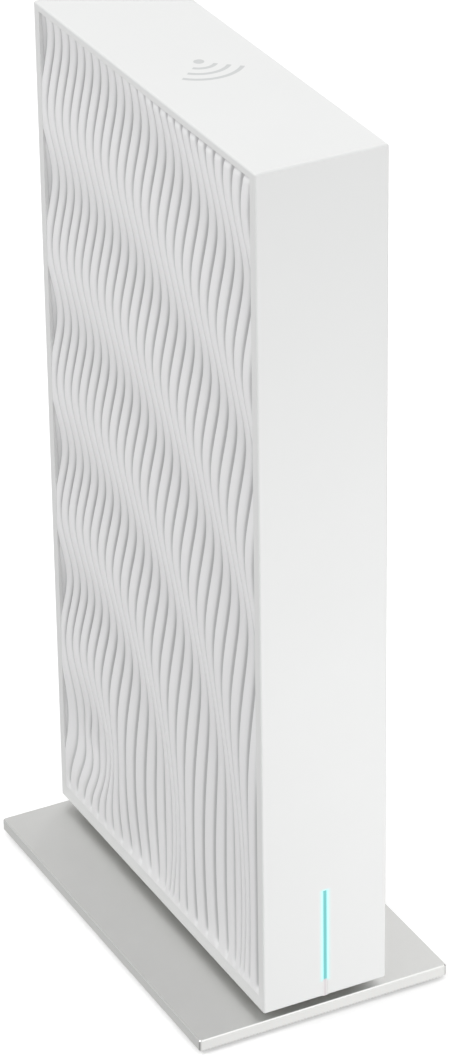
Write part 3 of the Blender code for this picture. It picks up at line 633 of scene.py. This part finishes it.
def sleeve_rings():
    """The sleeve's sections, from its front face to its rear rim and in again to its cavity.

    The outer edges at front and rear are quarter circles.
    """
    half = sleeve_high.x
    front, rear = sleeve_low.y, sleeve_high.y
    window_front, window_rear = panel_low.y - PANEL_GAP, panel_high.y + PANEL_GAP
    round_off = np.linspace(0, math.pi / 2, EDGE_STEPS)

    def outer(y, inset=0.0, recess=0.0, slot=False):
        """An outer section, this far in from the sleeve's full size."""
        low, high = sleeve_low.z + inset, sleeve_high.z - inset
        notch = slot_top - low if slot else 0.0
        return sleeve_ring(y, half - inset, low, high, EDGE_RADIUS - inset + WELD, recess, notch)

    rings = [
        outer(front + EDGE_RADIUS * (1 - math.cos(a)), EDGE_RADIUS * (1 - math.sin(a)), 0.0, True)
        for a in round_off
    ]
    rings += [outer(front + SLOT_DEPTH, slot=True), outer(front + SLOT_DEPTH)]
    rings += [outer(window_front), outer(window_front, recess=WINDOW_DEPTH)]
    rings += [outer(window_rear, recess=WINDOW_DEPTH), outer(window_rear)]
    rings += [
        outer(rear - EDGE_RADIUS * (1 - math.sin(a)), EDGE_RADIUS * (1 - math.cos(a)))
        for a in round_off[:-1]
    ]
    gap = PANEL_GAP
    opening = (cover_high.x + gap, cover_low.z - gap, cover_high.z + gap, OPENING_RADIUS)
    seat = cover_high.y - SEAT_DEPTH
    cavity_low, cavity_high = sleeve_low.z + CAVITY_FLOOR, sleeve_high.z - CAVITY_ROOF
    cavity = (CAVITY_HALF, cavity_low, cavity_high, OPENING_RADIUS)
    rings += [sleeve_ring(rear, *opening), sleeve_ring(seat, *opening)]
    rings += [sleeve_ring(seat, *cavity), sleeve_ring(front + FRONT_WALL, *cavity)]
    return np.array(rings)


def satin(place, colour):
    """The casing plastic's colour, with faint flow clouds, and the wire of its fine grain."""
    clouds, grains = place.noise(FLOW_CLOUD, 3), place.noise(SATIN_GRAIN, 3)
    return clouds.tint(colour, 0.985, 1.01), grains


def casing_wired(place):
    """Satin white with the printed sign on top, and painted light round the lit bar: a teal tint
    and a faint glow.

    The sign's arcs are where the reach from its dot is close to each radius, inside a fan towards
    the front. The tint falls off with the square of the nearness to the bar's middle line.
    """
    base, grains = satin(place, SHELL_WHITE)
    x, y, z = (place.part(axis) for axis in "XYZ")
    across, along = x - SIGN_X, SIGN_Y - y
    reach = (across * across + along * along).unary("SQRT")
    in_front = along.ramp(0.0, 0.05 * MM)
    in_fan = in_front * (along - across.unary("ABSOLUTE") * FAN_SLOPE).ramp(0.0, 0.1 * MM)
    sign = 1 - reach.ramp(SIGN_DOT, SIGN_DOT + INK_EDGE)
    for arc in SIGN_ARCS:
        off = (reach - arc).unary("ABSOLUTE")
        sign = sign + (1 - off.ramp(SIGN_STROKE, SIGN_STROKE + INK_EDGE)) * in_fan
    on_top = z.ramp(sleeve_high.z - EDGE_RADIUS, sleeve_high.z - 0.4 * EDGE_RADIUS)
    # painted light: the bar's glow on the casing round it, a teal tint in the base colour and a
    # faint emission
    near = 1 - x.unary("ABSOLUTE").ramp(GLOW_FROM, GLOW_FROM + GLOW_REACH)
    lit = z.ramp(lit_from - GLOW_ENDS, lit_from)
    lit = lit * (1 - z.ramp(bar_high.z, bar_high.z + GLOW_ENDS))
    on_front = 1 - y.ramp(sleeve_low.y + 1 * MM, sleeve_low.y + 2 * MM)
    glow = near * near * lit * on_front
    return {
        "Base Color": glow.mix((sign * on_top).mix(base, SIGN_GREY), GLOW_TINT),
        "Roughness": 0.40 + 0.08 * grains,
        "Normal": grains.bumps(0.004 * MM),
        "Emission Color": glow.mix((0, 0, 0), GLOW_LIGHT),
    }


casing_fixed = {"IOR": PLASTIC_IOR, "Emission Strength": 1.0}
casing_finish = finish("printed_white_casing", casing_fixed, casing_wired)
rings = sleeve_rings()
sleeve = solid("casing_sleeve_moulding", rings, lofted(rings), casing_finish)
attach(sleeve, "root")
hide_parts("casing_sleeve")

# ------------------------------------------------------------------ wave panels
# The two snapped-in side panels: broad rounded ribs with narrow grooves between them, which sway
# in rings of ripples round one centre low at the rear. The far panel is the near one's mirror.
WAVE_WHITE, GROOVE_SHADE_GREY = (0.88, 0.88, 0.885), (0.60, 0.60, 0.605)
RIB_COUNT, RIB_PITCH, FIRST_GROOVE = 26, 4.035 * MM, 3.10 * MM
RIB_SWAY, RIPPLE_LENGTH, RIPPLE_PHASE = 2.462 * MM, 35.04 * MM, 0.506
RIPPLE_FROM_REAR, RIPPLE_UP = 15.84 * MM, 26.56 * MM
RIPPLE_DRIFT, SWAY_FADE = 0.045, 0.66
SWAY_NEAR, LEAN, LEAN_PHASE = 1.071, 0.094, 0.288
CENTRE_SOFT = 2.0 * MM
GROOVE_DEPTH, GROOVE_HALF, BELL_POWER, CROWN = 0.85 * MM, 0.58 * MM, 3, 0.18 * MM
RELIEF_MEAN, RELIEF_SWING = 0.80, 0.20
SWELL, SWELL_LAG, SWELL_SHADE = 0.15 * MM, 0.75, 0.65 * MM
PAINTED_SHADE_FROM, PAINTED_SHADE_TO = 0.22 * MM, 0.85 * GROOVE_DEPTH
PANEL_BACK, FLUSH, FIT = 2.3 * MM, 0.03 * MM, 0.02 * MM
CAP_LENGTH, CAPS_FROM, CAPS_TO = 2.0 * MM, 40 * MM, 75 * MM
RUN_OUT, EDGE_FADE = 2.8 * MM, 0.4
RIB_SHARES = (0, 0.04, 0.08, 0.12, 0.17, 0.24, 0.36, 0.5, 0.64, 0.76, 0.83, 0.88, 0.92, 0.96)
FOOT_ROWS, MIDDLE_ROWS, CAP_ROWS = 9, 150, 14
SETTLING_STEPS = 14
PANEL_SHARP = 60.0


def ripple(line, up):
    """The distance from the ripples' centre and the turn of the ripple there, in radians.

    The turn grows nearly evenly with the distance, whose point at the centre is rounded off.
    """
    reach = np.sqrt((line - RIPPLE_FROM_REAR) ** 2 + (up - RIPPLE_UP) ** 2 + CENTRE_SOFT**2)
    return reach, 2 * np.pi * reach * (1 - RIPPLE_DRIFT * reach) / RIPPLE_LENGTH + RIPPLE_PHASE


def sway(line, up):
    """How far the rib that starts straight at line is swung towards the front, at height up.

    A sine of the ripple's turn that leans over, by a weak sine of twice the turn, and grows weaker
    away from the centre.
    """
    reach, turn = ripple(line, up)
    swing = np.sin(turn) - LEAN * np.sin(2 * turn + LEAN_PHASE)
    return RIB_SWAY * SWAY_NEAR * (1 - SWAY_FADE * reach) * swing


def smooth_rise(value, low, high):
    """0 below low, 1 above high, and 3t^2 - 2t^3 between them."""
    t = np.clip((value - low) / (high - low), 0, 1)
    return t * t * (3 - 2 * t)


def wave_surface():
    """The panel's face as a grid: columns follow the ribs and rows are level.

    A column stands where its rib line plus its sway puts it, kept within the panel's edges. Below
    the crest is the groove, a bell curve of the distance to the nearest groove line, and the
    crown, a parabola that is lowest there. The grooves run out at the foot, and towards the
    front the ribs' top ends are quarter-round caps. The crests rise and fall by the swell, a
    cosine of the ripple's turn. Where the panel's edge holds a column back, its rib line is found
    again from its place, in a few settling steps.
    """
    foot, head = panel_low.z - PANEL_GAP + FIT, panel_high.z + PANEL_GAP - FIT
    rear = sleeve_high.y - panel_high.y - PANEL_GAP + FIT
    front = sleeve_high.y - panel_low.y + PANEL_GAP - FIT
    ribs = np.arange(-1, RIB_COUNT + 1)[:, None] + np.array(RIB_SHARES)
    lines = (FIRST_GROOVE + RIB_PITCH * ribs).ravel()
    low_rows = np.linspace(foot, foot + RUN_OUT, FOOT_ROWS)[:-1]
    high_rows = head - CAP_LENGTH * np.linspace(1.3, 0, CAP_ROWS) ** 1.5
    middle_rows = np.linspace(foot + RUN_OUT, high_rows[0], MIDDLE_ROWS)[:-1]
    rows = np.concatenate((low_rows, middle_rows, high_rows))
    line, row = np.meshgrid(lines, rows, indexing="ij")
    up = row - sleeve_low.z
    from_rear = np.clip(line + sway(line, up), rear, front)
    for _ in range(SETTLING_STEPS):
        line = from_rear - sway(line, up)
    rib = (line - FIRST_GROOVE) / RIB_PITCH
    off = np.abs(rib - np.round(rib)) * RIB_PITCH
    beyond = np.maximum(-rib, rib - RIB_COUNT) * RIB_PITCH
    off = np.where(beyond > 0, 0, off)
    bell = np.exp(-((off / GROOVE_HALF) ** BELL_POWER))
    depth = GROOVE_DEPTH * bell + CROWN * (1 - 2 * off / RIB_PITCH) ** 2
    at_caps = smooth_rise(from_rear, CAPS_FROM, CAPS_TO)
    near_head = smooth_rise(row, head - 3 * CAP_LENGTH, head - CAP_LENGTH)
    relief = RELIEF_MEAN + RELIEF_SWING * np.cos(ripple(line, up)[1])
    depth *= relief + (1 - relief) * at_caps * near_head
    depth *= 1 - EDGE_FADE * smooth_rise(beyond, 0, 1 * MM)
    depth *= smooth_rise(row, foot, foot + RUN_OUT)
    nose = 1 - np.clip((head - row) / CAP_LENGTH, 0, 1)
    depth += (GROOVE_DEPTH + CROWN - depth) * nose**2 * at_caps
    swell = SWELL * (1 + np.cos(ripple(from_rear, up)[1] - SWELL_LAG))
    depth += swell * smooth_rise(row, foot, foot + 2 * RUN_OUT)
    return np.stack((sleeve_high.x - FLUSH - depth, sleeve_high.y - from_rear, row), -1)


def wave_panel(name, side, material):
    """The wave surface with side walls and a flat back, on the side whose sign is given."""
    face = wave_surface()
    index = np.arange(face.shape[0] * face.shape[1]).reshape(face.shape[:2])
    corners = (index[:-1, :-1], index[1:, :-1], index[1:, 1:], index[:-1, 1:])
    quads = np.stack(corners, -1).reshape(-1, 4)
    rim = np.concatenate((index[:, 0], index[-1, 1:], index[-2::-1, -1], index[0, -2:0:-1]))
    back = face.reshape(-1, 3)[rim]
    back[:, 0] = sleeve_high.x - PANEL_BACK
    back_index = index.size + np.arange(len(rim))
    walls = np.stack((rim, np.roll(rim, -1), np.roll(back_index, -1), back_index), -1)
    points = np.concatenate((face.reshape(-1, 3), back)) * (side, 1, 1)
    faces = [*quads.tolist(), *walls.tolist(), back_index.tolist()]
    return solid(name, points, faces, material, PANEL_SHARP, False)


def ribbed_wired(place):
    """The casing's plastic with painted shade, greyer down in the grooves, and the swell of the
    crests shaded through the bump.

    The ripple's turn is worked out as it is for the surface, from the place alone.
    """
    base, grains = satin(place, WAVE_WHITE)
    from_rear = sleeve_high.y - RIPPLE_FROM_REAR - place.part("Y")
    up = place.part("Z") - (sleeve_low.z + RIPPLE_UP)
    reach = (from_rear * from_rear + up * up + CENTRE_SOFT**2).unary("SQRT")
    turn = reach * (1 - RIPPLE_DRIFT * reach) * (2 * math.pi / RIPPLE_LENGTH) + RIPPLE_PHASE
    swell = (turn - SWELL_LAG).unary("COSINE")
    sunk = sleeve_high.x - place.part("X").unary("ABSOLUTE") - SWELL * (1 + swell)
    # painted shade: the base colour turns grey with the depth below the crest, for the shade down
    # in the grooves
    groove = sunk.ramp(PAINTED_SHADE_FROM, PAINTED_SHADE_TO)
    return {
        "Base Color": groove.mix(base, GROOVE_SHADE_GREY),
        "Roughness": 0.45 + 0.08 * grains,
        "Normal": (0.004 * MM * grains - SWELL_SHADE * swell).bumps(1.0),
    }


wave_moulding = finish("ribbed_white_moulding", {"IOR": PLASTIC_IOR}, ribbed_wired)
for name, side in (("wave_panel_left", -1), ("wave_panel_right", 1)):
    panel = wave_panel(name + "_ribs", side, wave_moulding)
    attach(panel, "root")
    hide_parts(name)

# ------------------------------------------------------------------ light bar
# A milky acrylic light guide that fills the front slot. Its upper part is lit teal, and the
# last few millimetres at its foot stay unlit.
MILK, LINE_MILK = (0.80, 0.79, 0.79), (0.70, 0.66, 0.67)
LIT_TEAL, LIT_RIM = (0.09, 0.34, 0.34), (0.30, 0.80, 0.80)
TEAL_GLOW, RIM_GLOW = (0.09, 0.25, 0.25), (0.35, 0.45, 0.45)
BAR_HALF, BAR_EDGE, BAR_SUNK, BAR_CORNER = 0.65 * MM, 0.05 * MM, 0.02 * MM, 0.1 * MM
CORE_HALF, CORE_EDGE = 0.46 * MM, 0.12 * MM
LINE_FROM, LINE_TO = 0.15 * MM, 0.35 * MM


def rounded_outline(half_wide, low, high, edge, steps=4):
    """Points round an upright rectangle whose corners are quarter circles, as (across, up)."""
    return corner_arcs(half_wide, low, high, edge, steps).reshape(-1, 2)


def bar_wired(place):
    """Lit teal down the middle and paler towards the slot's edges, above the unlit foot."""
    side = place.part("X").unary("ABSOLUTE")
    lit = place.part("Z").ramp(lit_from - 0.2 * MM, lit_from + 0.3 * MM)
    rim = side.ramp(CORE_HALF - CORE_EDGE, CORE_HALF + CORE_EDGE)
    line = 1 - side.ramp(LINE_FROM, LINE_TO)
    core = place.noise(4 * MM, 1).tint(TEAL_GLOW, 0.9, 1.1)
    return {
        "Base Color": lit.mix(line.mix(MILK, LINE_MILK), rim.mix(LIT_TEAL, LIT_RIM)),
        "Roughness": 0.3 + 0.1 * place.noise(0.3 * MM),
        "Emission Color": lit.mix((0, 0, 0), rim.mix(core, RIM_GLOW)),
    }


bar_finish = finish("lit_light_guide", {"Emission Strength": 1.0, "Coat Weight": 0.2}, bar_wired)
bar_sections = [
    (bar_low.y + BAR_SUNK, BAR_HALF - BAR_EDGE, BAR_EDGE),
    (bar_low.y + BAR_SUNK + BAR_EDGE, BAR_HALF, 0.0),
    (bar_low.y + SLOT_DEPTH - BAR_EDGE, BAR_HALF, 0.0),
]
bar_rings = []
for y, half, inset in bar_sections:
    low, high = bar_low.z + inset + BAR_SUNK, bar_high.z - inset
    bar_rings.append([(x, y, z) for x, z in rounded_outline(half, low, high, BAR_CORNER)])
bar_rings = np.array(bar_rings)
bar = solid("light_bar_guide", bar_rings, lofted(bar_rings), bar_finish)
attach(bar, "root")
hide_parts("light_bar")

# ------------------------------------------------------------------ stand neck
# The dark moulded foot of the tower, set well back under it, which leaves a shadow gap above
# the plate.
NECK_DARK = (0.30, 0.30, 0.27)
NECK_EDGE = 0.3 * MM

dark_moulding = moulded("dark_neck_moulding", NECK_DARK, 0.6)
neck = softened("stand_neck", "stand_neck_moulding", dark_moulding, NECK_EDGE)
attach(neck, "root")
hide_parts("stand_neck")

# ------------------------------------------------------------------ stand plate
# Three-millimetre aluminium plate, bead-blasted and anodised, with a diamond-cut chamfer round
# its top edge.
PLATE_GREY, CHAMFER_BRIGHT = (0.77, 0.77, 0.755), (0.84, 0.84, 0.83)
CHAMFER, LOWER_CHAMFER, PLATE_CORNER = 0.25 * MM, 0.2 * MM, 0.7 * MM

plate_low, plate_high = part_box("stand_plate")


def blasted_wired(place):
    """Bead-blasted metal: fine dimples of two sizes, and a faint mottle in the anodising."""
    dimples = place.noise(0.12 * MM, 3) * 0.6 + place.noise(0.35 * MM, 2) * 0.4
    mottle = place.noise(14 * MM, 3)
    return {
        "Base Color": mottle.tint(PLATE_GREY, 0.97, 1.03),
        "Roughness": 0.36 + 0.12 * dimples,
        "Normal": dimples.bumps(0.012 * MM),
    }


def cut_wired(place):
    """A diamond-cut edge: bright, with hair-fine tool lines."""
    lines = place.noise(0.05 * MM, 2, (30, 30, 1))
    return {
        "Base Color": lines.tint(CHAMFER_BRIGHT, 0.95, 1.0),
        "Roughness": 0.16 + 0.1 * lines,
        "Normal": lines.bumps(0.002 * MM),
    }


def plate_outline(inset):
    """The plate's outline, this far in from its edge, as points in the floor plan."""
    front, rear = plate_low.y + inset, plate_high.y - inset
    return rounded_outline(plate_high.x - inset, front, rear, PLATE_CORNER - inset, 7)


blasted = finish("blasted_aluminium", {"Metallic": 1.0}, blasted_wired)
plate_sections = [
    (plate_low.z, LOWER_CHAMFER),
    (plate_low.z + LOWER_CHAMFER, 0.0),
    (plate_high.z - CHAMFER, 0.0),
    (plate_high.z, CHAMFER),
]
plate_rings = np.array([
    [(x, y, z) for x, y in plate_outline(inset)] for z, inset in plate_sections
])
plate = solid("stand_plate_metal", plate_rings, lofted(plate_rings), blasted)
plate.data.materials.append(finish("cut_aluminium_edge", {"Metallic": 1.0}, cut_wired))
for face in plate.data.polygons:
    face.material_index = int(plate_high.z - CHAMFER < face.center.z < plate_high.z - 0.01 * MM)
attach(plate, "root")
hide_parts("stand_plate")

# ------------------------------------------------------------------ rubber feet and stand screws
# Four moulded rubber pads let into the plate's underside, and the two countersunk screws that
# hold plate, neck and tower together.
RUBBER_BLACK = (0.025, 0.025, 0.025)
FOOT_EDGE, FOOT_TURNS, FOOT_FLAT = 0.4 * MM, (0.5, 1.0, 1.571), 0.7

rubber = moulded("black_rubber", RUBBER_BLACK, 0.75, 0.5 * MM, 0.03 * MM)
for number in (1, 2, 3, 4):
    foot_low, foot_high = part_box(f"rubber_foot_{number}")
    radius = (foot_high.x - foot_low.x) / 2
    turn = np.array(FOOT_TURNS)
    edge_z = foot_low.z + FOOT_EDGE * (1 - np.cos(turn))
    edge_radius = radius - FOOT_EDGE * (1 - np.sin(turn))
    profile = [(foot_low.z, radius * FOOT_FLAT), (foot_low.z, radius - FOOT_EDGE)]
    profile += [*zip(edge_z, edge_radius), (foot_high.z, radius)]
    foot = turned(
        f"rubber_foot_pad_{number}", f"rubber_foot_{number}", profile, 2, rubber, CAP_SIDES
    )
    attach(foot, "root")
    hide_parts(f"rubber_foot_{number}")
for number in (1, 2):
    dress(f"stand_screw_{number}", plated_steel)

# ------------------------------------------------------------------ floor and light
# A white studio floor under a pale sky, which is darker on both sides and darkest on the left
# below the horizon. Large soft lights stand high on the left, in front, behind and overhead, and
# a small one low before the foot.
FLOOR_SIZE = 24.0
FLOOR_WHITE, FLOOR_OWN_LIGHT = (0.93, 0.93, 0.93), 0.20
SKY, SKY_SIDES = 0.72, 0.42
GROUND_LEFT, GROUND_REAR, GROUND_FRONT = 0.24, 0.72, 1.02
SOFT_LIGHTS = {
    "left_light": ((-1.05, 0.1, 1.05), 0.9, 8.4),
    "front_light": ((0.6, -0.95, 1.15), 1.5, 3.4),
    "foot_light": ((0.08, -0.26, 0.02), 0.15, 0.16),
    "rear_light": ((1.3, 0.9, 0.5), 0.9, 7.0),
    "overhead_light": ((0.1, -0.3, 1.6), 1.0, 1.8),
}

corners = np.array([(-1, -1), (1, -1), (1, 1), (-1, 1)]) * FLOOR_SIZE / 2
floor_mesh = bpy.data.meshes.new("floor")
floor_mesh.from_pydata([(x, y, 0.0) for x, y in corners.tolist()], [], [(0, 1, 2, 3)])
floor = bpy.data.objects.new("floor", floor_mesh)


def floor_wired(place):
    """Matt white, with clouds of 1 per cent a few hand-widths across."""
    return {"Base Color": place.noise(0.3).tint(FLOOR_WHITE, 1.0, 1.01)}


floor_fixed = {"Emission Color": (1, 1, 1, 1), "Emission Strength": FLOOR_OWN_LIGHT}
floor_mesh.materials.append(finish("white_floor", {"Roughness": 0.9, **floor_fixed}, floor_wired))
floor.visible_diffuse = False
floor.visible_glossy = False
bpy.context.scene.collection.objects.link(floor)

for name, (spot, size, power) in SOFT_LIGHTS.items():
    lamp = bpy.data.lights.new(name, "AREA")
    lamp.size = size
    lamp.energy = power
    holder = bpy.data.objects.new(name, lamp)
    holder.location = spot
    aim = Vector((0, 0, 0.1)) - Vector(spot)
    holder.rotation_euler = aim.to_track_quat("-Z", "Y").to_euler()
    holder.visible_camera = False
    bpy.context.scene.collection.objects.link(holder)

world = bpy.data.worlds.new("studio_sky")
world.use_nodes = True
tree = world.node_tree
directions = Wire(tree, tree.nodes.new("ShaderNodeTexCoord").outputs["Generated"])
frontness = (directions.part("X") * 0.2 - directions.part("Y") * 0.95).ramp(-0.2, 0.9)
ground = frontness.mix((GROUND_LEFT,) * 3, (GROUND_FRONT,) * 3)
ground = directions.part("Y").ramp(0.2, 0.7).mix(ground, (GROUND_REAR,) * 3)
above = directions.part("X").unary("ABSOLUTE").ramp(0.4, 0.9).mix((SKY,) * 3, (SKY_SIDES,) * 3)
sky = directions.part("Z").ramp(-0.15, 0.15).mix(ground, above)
tree.links.new(sky.socket, tree.nodes["Background"].inputs["Color"])
bpy.context.scene.world = world
